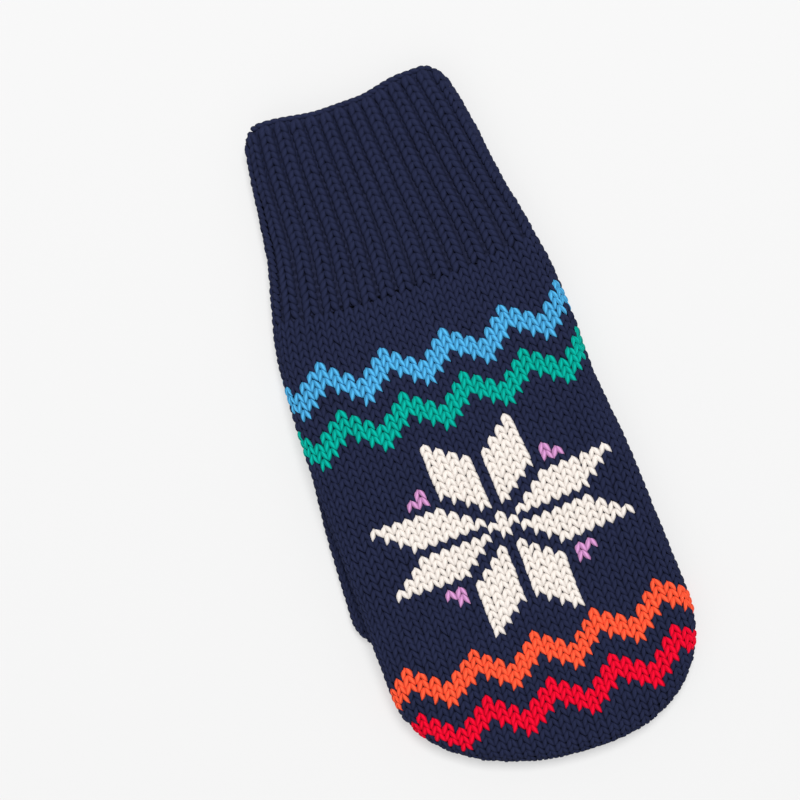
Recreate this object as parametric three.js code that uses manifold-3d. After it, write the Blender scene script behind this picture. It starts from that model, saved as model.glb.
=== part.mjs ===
// A left-hand knitted mitten, lying on its palm with its thumb folded flat under it.
// It is knitted in the round as three hollow tubes: a ribbed cuff, the hand with its
// rounded closed tip, and a thumb that opens into the hand through a slit in the palm.
// X runs across the hand, away from the thumb, +Y points to the wrist and +Z is up.
// The origin is at the middle of the mitten, on the surface it lies on. Millimetres.

import * as THREE from 'three';
import Module from 'manifold-3d';
import { mergeVertices } from 'three/addons/utils/BufferGeometryUtils.js';

const wasm = await Module();
wasm.setup();

// Overall sizes
const mittenLength = 260;
const mittenWidth = 122.8;
const cuffLength = 76.3;
const tipLength = 43.2;

// The knitted walls and the room between them
const handWall = 3.2;
const handHollow = 8.8;
const handEdgeRound = 7;
const backCrown = 0.6;
const cuffWall = 3.2;
const cuffHollow = 7.2;
const ribCount = 30;
const ribHeight = 1.6;
const ribFadeLength = 14;
const wristEdgeDrop = 2.3;

// The thumb tube, and how it lies under the palm
const thumbLength = 78.8;
const thumbWidth = 43.4;
const thumbTipLength = 19;
const thumbWall = 2.8;
const thumbHollow = 4.8;
const thumbRootFromCuff = 48.3;
const thumbRootInset = 4.8;
const hollowOverThumb = 3.2;
const palmFall = 18;
const backFall = 44;

// Clearances
const jointGap = 0.3;
const thumbClearance = 0.4;
const slitStep = 0.4;
const slitEndLength = 8;
const slitEndSlope = 14;
const slitSill = 0.1;

const yarnColour = 0x24284a;
const yarnRoughness = 0.92;

const halfWidth = mittenWidth / 2;
const wristY = mittenLength / 2;
const tipY = -mittenLength / 2;
const cuffJointY = wristY - cuffLength;
const tipStartY = tipY + tipLength;
const thumbRootY = cuffJointY - thumbRootFromCuff;
const thumbTipY = thumbRootY - jointGap - thumbLength;
const thumbThickness = 2 * thumbWall + thumbHollow;
const palmOverThumb = thumbThickness + thumbClearance;
const handThickness = 2 * handWall + handHollow;
const backOverThumb = palmOverThumb + 2 * handWall + hollowOverThumb;
const edgeOverThumb = palmOverThumb + handWall + hollowOverThumb / 2;

// The sides of the cuff, from the wrist edge to the hand.
// down: share of the cuff's length. left and right: shares of half the mitten's width.
const cuffSides = [
  { down: 0.0, left: -0.634, right: 0.63 },
  { down: 0.236, left: -0.68, right: 0.7 },
  { down: 0.625, left: -0.746, right: 0.772 },
  { down: 0.82, left: -0.807, right: 0.822 },
  { down: 1.0, left: -0.867, right: 0.86 },
];

// The sides of the hand, from the cuff to where the tip starts to round.
// down: share of that length. left and right: shares of half the mitten's width.
const handSides = [
  { down: 0.0, left: -0.867, right: 0.86 },
  { down: 0.07, left: -0.898, right: 0.883 },
  { down: 0.2, left: -0.918, right: 0.902 },
  { down: 0.38, left: -0.928, right: 0.908 },
  { down: 0.6, left: -0.926, right: 0.957 },
  { down: 0.8, left: -0.923, right: 0.977 },
  { down: 1.0, left: -0.92, right: 1.0 },
];

// The tip is a round end, fuller on the side of the little finger.
const tipCentre = 0.204;
const tipPowerLeft = 2.08;
const tipPowerRight = 2.2;

// The outer edge of the thumb, from its root to where its tip starts to round.
// down: share of that length. inset: share of the root's inset.
const thumbSide = [
  { down: 0.0, inset: 1.0 },
  { down: 0.4, inset: 0.42 },
  { down: 1.0, inset: 0.0 },
];
const thumbTipPower = 2.2;

// A smooth value between the rows of a table, with level ends
function along(table, column, share) {
  const at = Math.min(Math.max(share, 0), 1);
  let row = 0;
  while (row < table.length - 2 && at > table[row + 1].down) row += 1;
  const slope = (k) => {
    const before = table[Math.max(k - 1, 0)];
    const after = table[Math.min(k + 1, table.length - 1)];
    return (after[column] - before[column]) / (after.down - before.down);
  };
  const start = table[row];
  const end = table[row + 1];
  const span = end.down - start.down;
  const t = (at - start.down) / span;
  const t2 = t * t;
  const t3 = t2 * t;
  return (2 * t3 - 3 * t2 + 1) * start[column] + (t3 - 2 * t2 + t) * span * slope(row)
    + (3 * t2 - 2 * t3) * end[column] + (t3 - t2) * span * slope(row + 1);
}

const blend = (a, b, share) => a + (b - a) * share;
const fallOff = (share) => 1 - THREE.MathUtils.smoothstep(share, 0, 1);
const roundRise = (share) => Math.sqrt(1 - (1 - Math.min(share, 1)) ** 2);
const steps = (count) => Array.from({ length: count + 1 }, (_, k) => k / count);

// The width that a round end still has at a share of its length
const roundEnd = (share, power) => Math.max(0, 1 - share ** power) ** (1 / power);

function cuffStation(share) {
  const down = 1 - share;
  return {
    share,
    left: halfWidth * along(cuffSides, 'left', down),
    right: halfWidth * along(cuffSides, 'right', down),
  };
}

function handStation(y, inset) {
  const side = (cuffJointY - y) / (cuffJointY - tipStartY);
  const left = halfWidth * along(handSides, 'left', side) + inset;
  const right = halfWidth * along(handSides, 'right', side) - inset;
  if (y >= tipStartY) return { y, left, right };
  const end = (tipStartY - y) / (tipLength - inset);
  const centre = halfWidth * tipCentre;
  return {
    y,
    left: centre - (centre - left) * roundEnd(end, tipPowerLeft),
    right: centre + (right - centre) * roundEnd(end, tipPowerRight),
  };
}

// Stations down the hand, with a pair where the palm steps up over the thumb
function handStations(inset) {
  const rootY = thumbRootY + inset;
  const stepTop = rootY + slitStep;
  const slopeTop = stepTop + slitEndSlope;
  const upper = [
    ...steps(3).map((s) => blend(cuffJointY - jointGap / 2, slopeTop, s)),
    ...steps(3).slice(1).map((s) => blend(slopeTop, stepTop, s)),
  ];
  const lower = steps(11).map((s) => blend(rootY, tipStartY, s));
  const tip = steps(8).slice(1, -1);
  const end = tip.map((s) => tipStartY - (tipLength - inset) * Math.sin(s * Math.PI / 2));
  return [...upper, ...lower, ...end].map((y) => handStation(y, inset));
}

function thumbStation(y, inset) {
  const tipStart = thumbTipY + thumbTipLength;
  const side = (thumbRootY - y) / (thumbRootY - tipStart);
  const outer = -halfWidth + thumbRootInset * along(thumbSide, 'inset', side);
  const left = outer + inset;
  const right = outer + thumbWidth - inset;
  if (y >= tipStart) return { y, left, right };
  const end = (tipStart - y) / (thumbTipLength - inset);
  const centre = (left + right) / 2;
  const half = (right - left) / 2 * roundEnd(end, thumbTipPower);
  return { y, left: centre - half, right: centre + half };
}

function thumbStations(inset) {
  const tipStart = thumbTipY + thumbTipLength;
  const straight = steps(5).map((s) => blend(thumbRootY - jointGap, tipStart, s));
  const tip = steps(6).slice(1, -1);
  const end = tip.map((s) => tipStart - (thumbTipLength - inset) * Math.sin(s * Math.PI / 2));
  return [...straight, ...end].map((y) => thumbStation(y, inset));
}

// The plan outline of a closed tube: down the left edge, round the tip and up the right
function outlineOf(stations, tip) {
  const left = stations.map((s) => new THREE.Vector2(s.left, s.y));
  const right = stations.map((s) => new THREE.Vector2(s.right, s.y)).reverse();
  return [...left, new THREE.Vector2(tip.x, tip.y), ...right];
}

function distanceTo(outline, x, y) {
  let nearest = Infinity;
  for (let k = 0; k + 1 < outline.length; k += 1) {
    const a = outline[k];
    const b = outline[k + 1];
    const ab = b.clone().sub(a);
    const t = ((x - a.x) * ab.x + (y - a.y) * ab.y) / ab.lengthSq();
    const near = a.clone().addScaledVector(ab, Math.min(Math.max(t, 0), 1));
    nearest = Math.min(nearest, Math.hypot(x - near.x, y - near.y));
  }
  return nearest;
}

const thumbOuter = thumbStations(0);
const thumbTip = { x: -halfWidth + thumbWidth / 2, y: thumbTipY };
const thumbOutline = outlineOf(thumbOuter, thumbTip);

// How far a place in the plan lies outside the thumb, and 0 over it
function pastThumb(x, y) {
  const station = thumbStation(Math.min(Math.max(y, thumbTipY), thumbRootY), 0);
  const over = y <= thumbRootY && y > thumbTipY && x > station.left && x < station.right;
  return over ? 0 : distanceTo([...thumbOutline, thumbOutline[0]], x, y);
}

// The palm's height above the surface: it steps up over the thumb at the slit, and past
// the slit's end it slopes up
function palmHeight(x, y, slitY) {
  const slitEnd = thumbStation(thumbRootY, 0).right;
  const pastEnd = THREE.MathUtils.smoothstep(x - slitEnd, 0, slitEndLength);
  const run = slitStep + slitEndSlope * pastEnd;
  const pastSlit = fallOff((y - slitY) / run);
  return palmOverThumb * pastSlit * fallOff(pastThumb(x, Math.min(y, thumbRootY)) / palmFall);
}

// Heights of the hand's back, palm and side edge, for a wall face inset from the outside
function handHeights(x, y, depth, inset) {
  const nearThumb = fallOff(pastThumb(x, y) / backFall);
  const rounding = handEdgeRound - inset;
  const crown = backCrown * THREE.MathUtils.smoothstep(depth, rounding, rounding + 30);
  const edge = blend(handThickness / 2, edgeOverThumb, nearThumb);
  const back = blend(handThickness, backOverThumb, nearThumb) + crown - inset;
  const palm = palmHeight(x, y, thumbRootY + inset) + inset;
  const rise = roundRise(depth / rounding);
  return { edge, back: edge + (back - edge) * rise, palm: edge - (edge - palm) * rise };
}

function thumbHeights(x, y, depth, inset) {
  const edge = thumbThickness / 2;
  const rise = roundRise(depth / (edge - inset));
  return { edge, back: edge + (edge - inset) * rise, palm: edge - (edge - inset) * rise };
}

// Places across a flat tube: close together round its two edges and even between them
function acrossPlaces(width, rounding, between) {
  const half = width / 2;
  const roundSteps = [0, 1 / 3, 2 / 3].map((s) => rounding * (1 - Math.cos(s * Math.PI / 2)) / half);
  const flat = steps(between).map((s) => rounding / half + s * (2 - 2 * rounding / half));
  const mirrored = roundSteps.map((s) => 2 - s).reverse();
  return [...roundSteps, ...flat, ...mirrored].map((s) => s - 1);
}

// One closed ring round a flat tube: over the back from left to right and back under the palm
function ringAt(station, places, outline, heights, inset) {
  const middle = (station.left + station.right) / 2;
  const half = (station.right - station.left) / 2;
  const over = [];
  const under = [];
  places.forEach((place, k) => {
    const x = middle + half * place;
    const depth = distanceTo(outline, x, station.y);
    const z = heights(x, station.y, depth, inset);
    const isEdge = k === 0 || k === places.length - 1;
    over.push(new THREE.Vector3(x, station.y, isEdge ? z.edge : z.back));
    if (!isEdge) under.push(new THREE.Vector3(x, station.y, z.palm));
  });
  return [...over, ...under.reverse()];
}

// The rings and the tip of one face of a tube that closes at its tip
function closedTube(stations, tipPoint, places, heights, inset) {
  const outline = outlineOf(stations, tipPoint);
  const rings = stations.map((s) => ringAt(s, places, outline, heights, inset));
  const edge = heights(tipPoint.x, tipPoint.y, 0, inset).edge;
  return { rings, tip: new THREE.Vector3(tipPoint.x, tipPoint.y, edge) };
}

// A knitted wall as one closed body: its outer face, its inner face and the rims between
function wallGeometry(outer, inner) {
  const around = outer.rings[0].length;
  const points = [...outer.rings.flat(), ...inner.rings.flat()];
  const innerStart = outer.rings.length * around;
  const faces = [];
  const quad = (a, b, c, d) => faces.push(a, c, b, b, c, d);
  const face = (start, rows, turn) => {
    for (let row = 0; row + 1 < rows; row += 1) {
      for (let k = 0; k < around; k += 1) {
        const next = (k + 1) % around;
        const a = start + row * around + k;
        const b = start + row * around + next;
        if (turn) quad(b, a, b + around, a + around);
        else quad(a, b, a + around, b + around);
      }
    }
  };
  face(0, outer.rings.length, false);
  face(innerStart, inner.rings.length, true);
  const lastOuter = (outer.rings.length - 1) * around;
  const lastInner = innerStart + (inner.rings.length - 1) * around;
  for (let k = 0; k < around; k += 1) {
    const next = (k + 1) % around;
    quad(innerStart + k, innerStart + next, k, next);
    if (!outer.tip) quad(lastOuter + k, lastOuter + next, lastInner + k, lastInner + next);
  }
  if (outer.tip) {
    points.push(outer.tip, inner.tip);
    for (let k = 0; k < around; k += 1) {
      const next = (k + 1) % around;
      faces.push(lastOuter + k, points.length - 2, lastOuter + next);
      faces.push(lastInner + next, points.length - 1, lastInner + k);
    }
  }
  const geometry = new THREE.BufferGeometry().setFromPoints(points);
  geometry.setIndex(faces);
  return geometry;
}

function solidOf(geometry) {
  const bare = geometry.clone();
  bare.deleteAttribute('normal');
  bare.deleteAttribute('uv');
  const merged = mergeVertices(bare, 1e-4);
  return new wasm.Manifold(new wasm.Mesh({
    numProp: 3,
    vertProperties: new Float32Array(merged.attributes.position.array),
    triVerts: new Uint32Array(merged.index.array),
  }));
}

function geometryOf(solid) {
  const mesh = solid.getMesh();
  const geometry = new THREE.BufferGeometry();
  geometry.setAttribute('position', new THREE.BufferAttribute(mesh.vertProperties, 3));
  geometry.setIndex(new THREE.BufferAttribute(mesh.triVerts, 1));
  return geometry;
}

// The slit through the palm's step, where the thumb's hollow opens into the hand's
function thumbSlit() {
  const mouth = thumbStation(thumbRootY, thumbWall);
  const left = Math.max(mouth.left, handStation(thumbRootY, handEdgeRound).left);
  const width = mouth.right - left - 2 * slitSill;
  const bottom = Math.max(handWall, thumbWall) + slitSill;
  const height = thumbWall + thumbHollow + slitSill - bottom + thumbClearance / 2;
  const corner = height / 2 - slitSill;
  const depth = 3 * handWall;
  const shape = new THREE.Shape();
  shape.moveTo(corner, 0);
  shape.lineTo(width - corner, 0);
  shape.absarc(width - corner, corner, corner, -Math.PI / 2, 0, false);
  shape.lineTo(width, height - corner);
  shape.absarc(width - corner, height - corner, corner, 0, Math.PI / 2, false);
  shape.lineTo(corner, height);
  shape.absarc(corner, height - corner, corner, Math.PI / 2, Math.PI, false);
  shape.lineTo(0, corner);
  shape.absarc(corner, corner, corner, Math.PI, 1.5 * Math.PI, false);
  const slit = new THREE.ExtrudeGeometry(shape, { depth, bevelEnabled: false, curveSegments: 3 });
  slit.rotateX(Math.PI / 2);
  slit.translate(left + slitSill, thumbRootY + handWall + depth / 3, bottom);
  return slit;
}

function handGeometry() {
  const places = acrossPlaces(0.93 * mittenWidth, handEdgeRound, 14);
  const centre = halfWidth * tipCentre;
  const face = (inset) => closedTube(
    handStations(inset), { x: centre, y: tipY + inset }, places, handHeights, inset);
  const wall = wallGeometry(face(0), face(handWall));
  return geometryOf(solidOf(wall).subtract(solidOf(thumbSlit())));
}

function thumbGeometry() {
  const places = acrossPlaces(thumbWidth, thumbThickness / 2, 6);
  const face = (inset) => closedTube(
    thumbStations(inset), { x: thumbTip.x, y: thumbTipY + inset }, places, thumbHeights, inset);
  return wallGeometry(face(0), face(thumbWall));
}

// The wrist edge lies a little lower over most of its width than on the far side
function wristDropAt(x) {
  return wristEdgeDrop * (1 - THREE.MathUtils.smoothstep(x / halfWidth, 0.21, 0.37));
}

// One ring of the cuff, with the ribs' crests and valleys at even steps round it
function cuffRing(station, inset) {
  const reach = cuffLength * station.share;
  const relief = ribHeight / 2 * blend(0.25, 1, Math.min(reach / ribFadeLength, 1));
  const ribbed = 2 * cuffWall + cuffHollow + ribHeight;
  const thickness = blend(handThickness, ribbed, Math.min(reach / ribFadeLength, 1));
  const middle = (station.left + station.right) / 2;
  const half = (station.right - station.left) / 2 - relief - inset;
  const rounding = thickness / 2 - relief - inset;
  const unrolled = half + (Math.PI / 2 - 1) * rounding;
  const perSide = 2 * ribCount;
  const ring = [];
  for (let k = 0; k < 2 * perSide; k += 1) {
    const isPalm = k > perSide;
    const place = (isPalm ? 2 * perSide - k : k) / perSide;
    const u = unrolled * (2 * place - 1);
    const fromEdge = unrolled - Math.abs(u);
    const turn = Math.min(fromEdge / rounding, Math.PI / 2);
    const inward = turn < Math.PI / 2 ? rounding * (1 - Math.cos(turn))
      : fromEdge - (Math.PI / 2 - 1) * rounding;
    const wave = relief * Math.cos(Math.PI * ribCount / 2 * (2 * place - 1));
    const x = middle + Math.sign(u) * (half - inward + wave * Math.cos(turn));
    const side = isPalm ? -1 : 1;
    const z = thickness / 2 + side * (rounding + wave) * Math.sin(turn);
    const y = cuffJointY + jointGap / 2 + station.share
      * (cuffLength - jointGap / 2 - wristDropAt(x));
    ring.push(new THREE.Vector3(x, y, z));
  }
  return ring;
}

function cuffGeometry() {
  const stations = [1, 0.97, 0.77, 0.57, 0.37, 0.18, 0].map((share) => cuffStation(share));
  const face = (inset) => ({ rings: stations.map((s) => cuffRing(s, inset)), tip: null });
  return wallGeometry(face(0), face(cuffWall));
}

function piece(name, geometry) {
  const material = new THREE.MeshStandardMaterial({
    color: yarnColour,
    roughness: yarnRoughness,
    metalness: 0,
  });
  geometry.computeVertexNormals();
  const mesh = new THREE.Mesh(geometry, material);
  mesh.name = name;
  return mesh;
}

const group = new THREE.Group();
group.add(piece('ribbed_cuff', cuffGeometry()));
group.add(piece('hand', handGeometry()));
group.add(piece('thumb', thumbGeometry()));

export default group;
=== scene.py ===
"""A hand-knitted mitten with a long ribbed cuff, lying on its palm on a pale table.

The mitten is a flat tube. Its stitches are laid out on an unrolled pattern of columns
and rows, and a surface class wraps that pattern over the back of the hand, round the
two side folds and under the palm. Lengths are in millimetres until a mesh is made.
"""

import logging
import math
from collections.abc import Callable, Sequence
from dataclasses import dataclass, field
from enum import Enum

import bpy
import numpy as np
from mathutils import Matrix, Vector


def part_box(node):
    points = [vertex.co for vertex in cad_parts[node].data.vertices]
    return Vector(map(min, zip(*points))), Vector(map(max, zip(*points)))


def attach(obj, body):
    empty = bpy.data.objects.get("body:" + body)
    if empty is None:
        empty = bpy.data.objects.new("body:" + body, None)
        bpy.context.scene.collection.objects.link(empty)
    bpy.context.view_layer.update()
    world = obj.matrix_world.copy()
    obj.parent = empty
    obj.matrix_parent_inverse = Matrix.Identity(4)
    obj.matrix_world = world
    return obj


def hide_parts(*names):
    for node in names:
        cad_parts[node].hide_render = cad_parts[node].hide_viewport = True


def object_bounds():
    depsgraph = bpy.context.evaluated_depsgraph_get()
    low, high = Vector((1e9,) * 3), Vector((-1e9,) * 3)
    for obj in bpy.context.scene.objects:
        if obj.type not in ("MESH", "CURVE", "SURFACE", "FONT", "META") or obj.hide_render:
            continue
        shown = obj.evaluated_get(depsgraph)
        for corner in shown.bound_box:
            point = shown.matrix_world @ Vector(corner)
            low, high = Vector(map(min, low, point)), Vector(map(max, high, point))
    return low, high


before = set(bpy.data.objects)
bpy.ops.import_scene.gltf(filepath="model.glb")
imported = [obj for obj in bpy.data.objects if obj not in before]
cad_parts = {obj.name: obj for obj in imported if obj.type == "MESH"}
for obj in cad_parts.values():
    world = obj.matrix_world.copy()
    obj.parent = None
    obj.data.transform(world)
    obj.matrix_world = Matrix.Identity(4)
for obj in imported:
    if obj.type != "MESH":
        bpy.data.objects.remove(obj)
CAD_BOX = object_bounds()

log = logging.getLogger("mitten")

MM = 0.001
LEG_MAP = "OFBake"

Array = np.ndarray
Heights = tuple[Array, Array, Array]


class Face(Enum):
    """The two faces of the flat tube, with the direction that each one looks in."""

    BACK = 1
    PALM = -1


class Yarn(Enum):
    """The yarns; each one's value is a slot name."""

    NAVY = "navy_yarn"
    LIGHT_BLUE = "light_blue_yarn"
    GREEN = "green_yarn"
    ORANGE = "orange_yarn"
    RED = "red_yarn"
    CREAM = "cream_yarn"
    LILAC = "lilac_yarn"


def smooth(value: Array, low: float, high: float) -> Array:
    """Rises smoothly from 0 at low to 1 at high."""
    share = np.clip((value - low) / (high - low), 0, 1)
    return share * share * (3 - 2 * share)


def fall_off(share: Array) -> Array:
    """Falls smoothly from 1 at a share of 0 to 0 at a share of 1."""
    return 1 - smooth(share, 0, 1)


def mix(start: Array | float, end: Array | float, share: Array) -> Array:
    """The value at a share of the way from start to end."""
    return start + (end - start) * share


def round_end(share: Array, power: float) -> Array:
    """The width that a round end still has at a share of its length."""
    return np.maximum(0, 1 - np.clip(share, 0, 1) ** power) ** (1 / power)


class Profile:
    """A smooth curve through the rows of a table, whose first column is the share down."""

    def __init__(self, rows: Sequence[tuple[float, ...]]) -> None:
        """Keeps the rows and the slope at each.

        Args:
            rows: tuples of the share down and the values there.
        """
        table = np.array(rows, float)
        self.down, self.values = table[:, 0], table[:, 1:]
        before = np.maximum(np.arange(len(table)) - 1, 0)
        after = np.minimum(np.arange(len(table)) + 1, len(table) - 1)
        rise = self.values[after] - self.values[before]
        self.slopes = rise / (self.down[after] - self.down[before])[:, None]

    def at(self, share: Array, column: int = 0) -> Array:
        """The value at a share down the table.

        Args:
            share: places between 0 and 1.
            column: which value of the rows.

        Returns:
            One value for each place.
        """
        place = np.clip(share, 0, 1)
        row = np.searchsorted(self.down, place, side="left") - 1
        row = np.clip(row, 0, len(self.down) - 2)
        span = self.down[row + 1] - self.down[row]
        t = (place - self.down[row]) / span
        start, end = self.values[row, column], self.values[row + 1, column]
        leave, arrive = self.slopes[row, column], self.slopes[row + 1, column]
        return (
            (2 * t**3 - 3 * t**2 + 1) * start
            + (t**3 - 2 * t**2 + t) * span * leave
            + (3 * t**2 - 2 * t**3) * end
            + (t**3 - t**2) * span * arrive
        )


@dataclass(frozen=True)
class MittenSizes:
    """The sizes of the mitten, read from the frame's solids where they show there."""

    half_width: float = (CAD_BOX[1].x - CAD_BOX[0].x) / 2 / MM
    wrist_y: float = CAD_BOX[1].y / MM
    tip_bulge: float = 1.2
    tip_y: float = CAD_BOX[0].y / MM - tip_bulge
    cuff_joint_y: float = (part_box("hand")[1].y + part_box("ribbed_cuff")[0].y) / 2 / MM
    thumb_root_y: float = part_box("thumb")[1].y / MM
    thumb_tip_y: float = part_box("thumb")[0].y / MM
    thumb_thickness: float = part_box("thumb")[1].z / MM
    hand_thickness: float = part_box("ribbed_cuff")[1].z / MM
    tip_length: float = 43.2 + tip_bulge
    wall: float = 3.2
    edge_round: float = 7
    back_crown: float = 0.6
    wrist_dip: float = 2.8
    wrist_corner: float = 3.2
    thumb_width: float = 43.4
    thumb_tip_length: float = 19
    thumb_root_inset: float = 4.8
    hollow_over_thumb: float = 3.2
    palm_fall: float = 18
    back_fall: float = 44
    thumb_clearance: float = 0.4
    slit_step: float = 0.4
    slit_end_length: float = 8
    slit_end_slope: float = 14

    @property
    def tip_start_y(self) -> float:
        """Where the sides end and the tip starts to round."""
        return self.tip_y + self.tip_length

    @property
    def palm_over_thumb(self) -> float:
        """The palm's height where it lies on the thumb."""
        return self.thumb_thickness + self.thumb_clearance

    @property
    def back_over_thumb(self) -> float:
        """The back's height where the thumb lies under the palm."""
        return self.palm_over_thumb + 2 * self.wall + self.hollow_over_thumb

    @property
    def edge_over_thumb(self) -> float:
        """The side fold's height beside the thumb."""
        return self.palm_over_thumb + self.wall + self.hollow_over_thumb / 2


SIZES = MittenSizes()

# Shares of the cuff's length, and its left and right sides as shares of half the width
CUFF_SIDES = Profile(
    [
        (0.0, -0.634, 0.63),
        (0.236, -0.68, 0.7),
        (0.625, -0.746, 0.772),
        (0.82, -0.807, 0.822),
        (1.0, -0.867, 0.86),
    ]
)

# The same for the hand, from the cuff to where the tip starts to round
HAND_SIDES = Profile(
    [
        (0.0, -0.867, 0.86),
        (0.07, -0.898, 0.883),
        (0.2, -0.918, 0.902),
        (0.38, -0.928, 0.908),
        (0.6, -0.926, 0.957),
        (0.8, -0.923, 0.977),
        (1.0, -0.92, 1.0),
    ]
)
TIP_CENTRE = 0.204
TIP_POWERS = (2.08, 2.2)

# How much of its inset the thumb's outer edge still has, down from its root
THUMB_SIDE = Profile([(0.0, 1.0), (0.4, 0.42), (1.0, 0.0)])
THUMB_TIP_POWER = 2.2


def mitten_sides(y: Array) -> tuple[Array, Array]:
    """The left and right edges of the cuff and the hand at heights y in the plan.

    Args:
        y: places along the mitten.

    Returns:
        The left and the right x at each place.
    """
    s = SIZES
    cuff_down = (s.wrist_y - y) / (s.wrist_y - s.cuff_joint_y)
    hand_down = (s.cuff_joint_y - y) / (s.cuff_joint_y - s.tip_start_y)
    on_cuff = y > s.cuff_joint_y
    tip_down = (s.tip_start_y - y) / s.tip_length
    centre = s.half_width * TIP_CENTRE
    sides = []
    for column, power in enumerate(TIP_POWERS):
        edge = np.where(
            on_cuff, CUFF_SIDES.at(cuff_down, column), HAND_SIDES.at(hand_down, column)
        )
        reach = s.half_width * edge - centre
        sides.append(centre + reach * np.where(tip_down > 0, round_end(tip_down, power), 1))
    return sides[0], sides[1]


def edge_drop(x: Array) -> Array:
    """How far the wrist edge has sunk at places across: in the middle and at its corners."""
    s = SIZES
    share = x / s.half_width
    dip = smooth(share, -0.5, -0.12) * (1 - smooth(share, 0.1, 0.4))
    corner = smooth(np.abs(share), 0.53, 0.71)
    return s.wrist_dip * dip + s.wrist_corner * corner


def thumb_sides(y: Array) -> tuple[Array, Array]:
    """The left and right edges of the thumb at heights y in the plan.

    Args:
        y: places along the mitten.

    Returns:
        The left and the right x at each place.
    """
    s = SIZES
    tip_start = s.thumb_tip_y + s.thumb_tip_length
    down = (s.thumb_root_y - y) / (s.thumb_root_y - tip_start)
    left = -s.half_width + s.thumb_root_inset * THUMB_SIDE.at(down)
    half = s.thumb_width / 2
    end = (tip_start - y) / s.thumb_tip_length
    width = half * np.where(end > 0, round_end(end, THUMB_TIP_POWER), 1)
    return left + half - width, left + half + width


def plan_outline(
    sides: Callable[[Array], tuple[Array, Array]], top: float, tip_start: float, tip: float
) -> Array:
    """The outline of a tube that closes at its tip, down the left edge and up the right.

    Args:
        sides: gives the left and right edges at places along the tube.
        top: where the outline starts.
        tip_start: where the tip starts to round.
        tip: where the tip ends.

    Returns:
        The outline's points, one row each.
    """
    straight = np.linspace(top, tip_start, 70)
    turn = np.linspace(0, math.pi / 2, 40)[1:]
    y = np.concatenate([straight, tip_start - (tip_start - tip) * np.sin(turn)])
    left, right = sides(y)
    down = np.stack([left, y], axis=1)
    up = np.stack([right, y], axis=1)[-2::-1]
    return np.concatenate([down, up])


class DistanceField:
    """The distance to an outline in the plan, positive inside it, read from a grid."""

    step = 1.0
    margin = 10.0

    def __init__(self, outline: Array, closed: bool) -> None:
        """Fills the grid.

        Args:
            outline: the outline's points.
            closed: whether the stretch from the last point to the first counts too.
        """
        s = SIZES
        reach = s.half_width + self.margin
        self.low = np.array([-reach, s.tip_y - self.margin])
        self.x = np.arange(-reach, reach + self.step, self.step)
        self.y = np.arange(self.low[1], s.wrist_y + 2 * self.margin, self.step)
        places = np.stack(np.meshgrid(self.x, self.y, indexing="ij"), axis=-1)
        flat = places.reshape(-1, 2)
        nearest = np.full(len(flat), np.inf)
        inside = np.zeros(len(flat), bool)
        following = np.roll(outline, -1, axis=0)
        for k, (a, b) in enumerate(zip(outline, following)):
            along = b - a
            crosses = (a[1] > flat[:, 1]) != (b[1] > flat[:, 1])
            if crosses.any():
                at = a[0] + (flat[:, 1] - a[1]) * along[0] / along[1]
                inside ^= crosses & (flat[:, 0] < at)
            if k == len(outline) - 1 and not closed:
                continue
            share = np.clip((flat - a) @ along / (along @ along), 0, 1)
            gap = flat - a - share[:, None] * along
            nearest = np.minimum(nearest, np.hypot(gap[:, 0], gap[:, 1]))
        signed = np.where(inside, nearest, -nearest)
        self.distance = signed.reshape(len(self.x), len(self.y))
        self.slope_x, self.slope_y = np.gradient(self.distance, self.step)

    def read(self, grid: Array, x: Array, y: Array) -> Array:
        """A grid's value between its nodes.

        Args:
            grid: the distance or one of its slopes.
            x: places across.
            y: places along.

        Returns:
            The values there.
        """
        across = np.clip((x - self.low[0]) / self.step, 0, len(self.x) - 1.001)
        along = np.clip((y - self.low[1]) / self.step, 0, len(self.y) - 1.001)
        i, j = across.astype(int), along.astype(int)
        u, v = across - i, along - j
        near = grid[i, j] * (1 - v) + grid[i, j + 1] * v
        far = grid[i + 1, j] * (1 - v) + grid[i + 1, j + 1] * v
        return near * (1 - u) + far * u

    def inward(self, x: Array, y: Array) -> tuple[Array, Array, Array]:
        """The distance at places and the direction that leads away from the outline.

        Args:
            x: places across.
            y: places along.

        Returns:
            The distance, and the direction's two parts.
        """
        across = self.read(self.slope_x, x, y)
        along = self.read(self.slope_y, x, y)
        size = np.maximum(np.hypot(across, along), 1e-6)
        return self.read(self.distance, x, y), across / size, along / size


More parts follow.
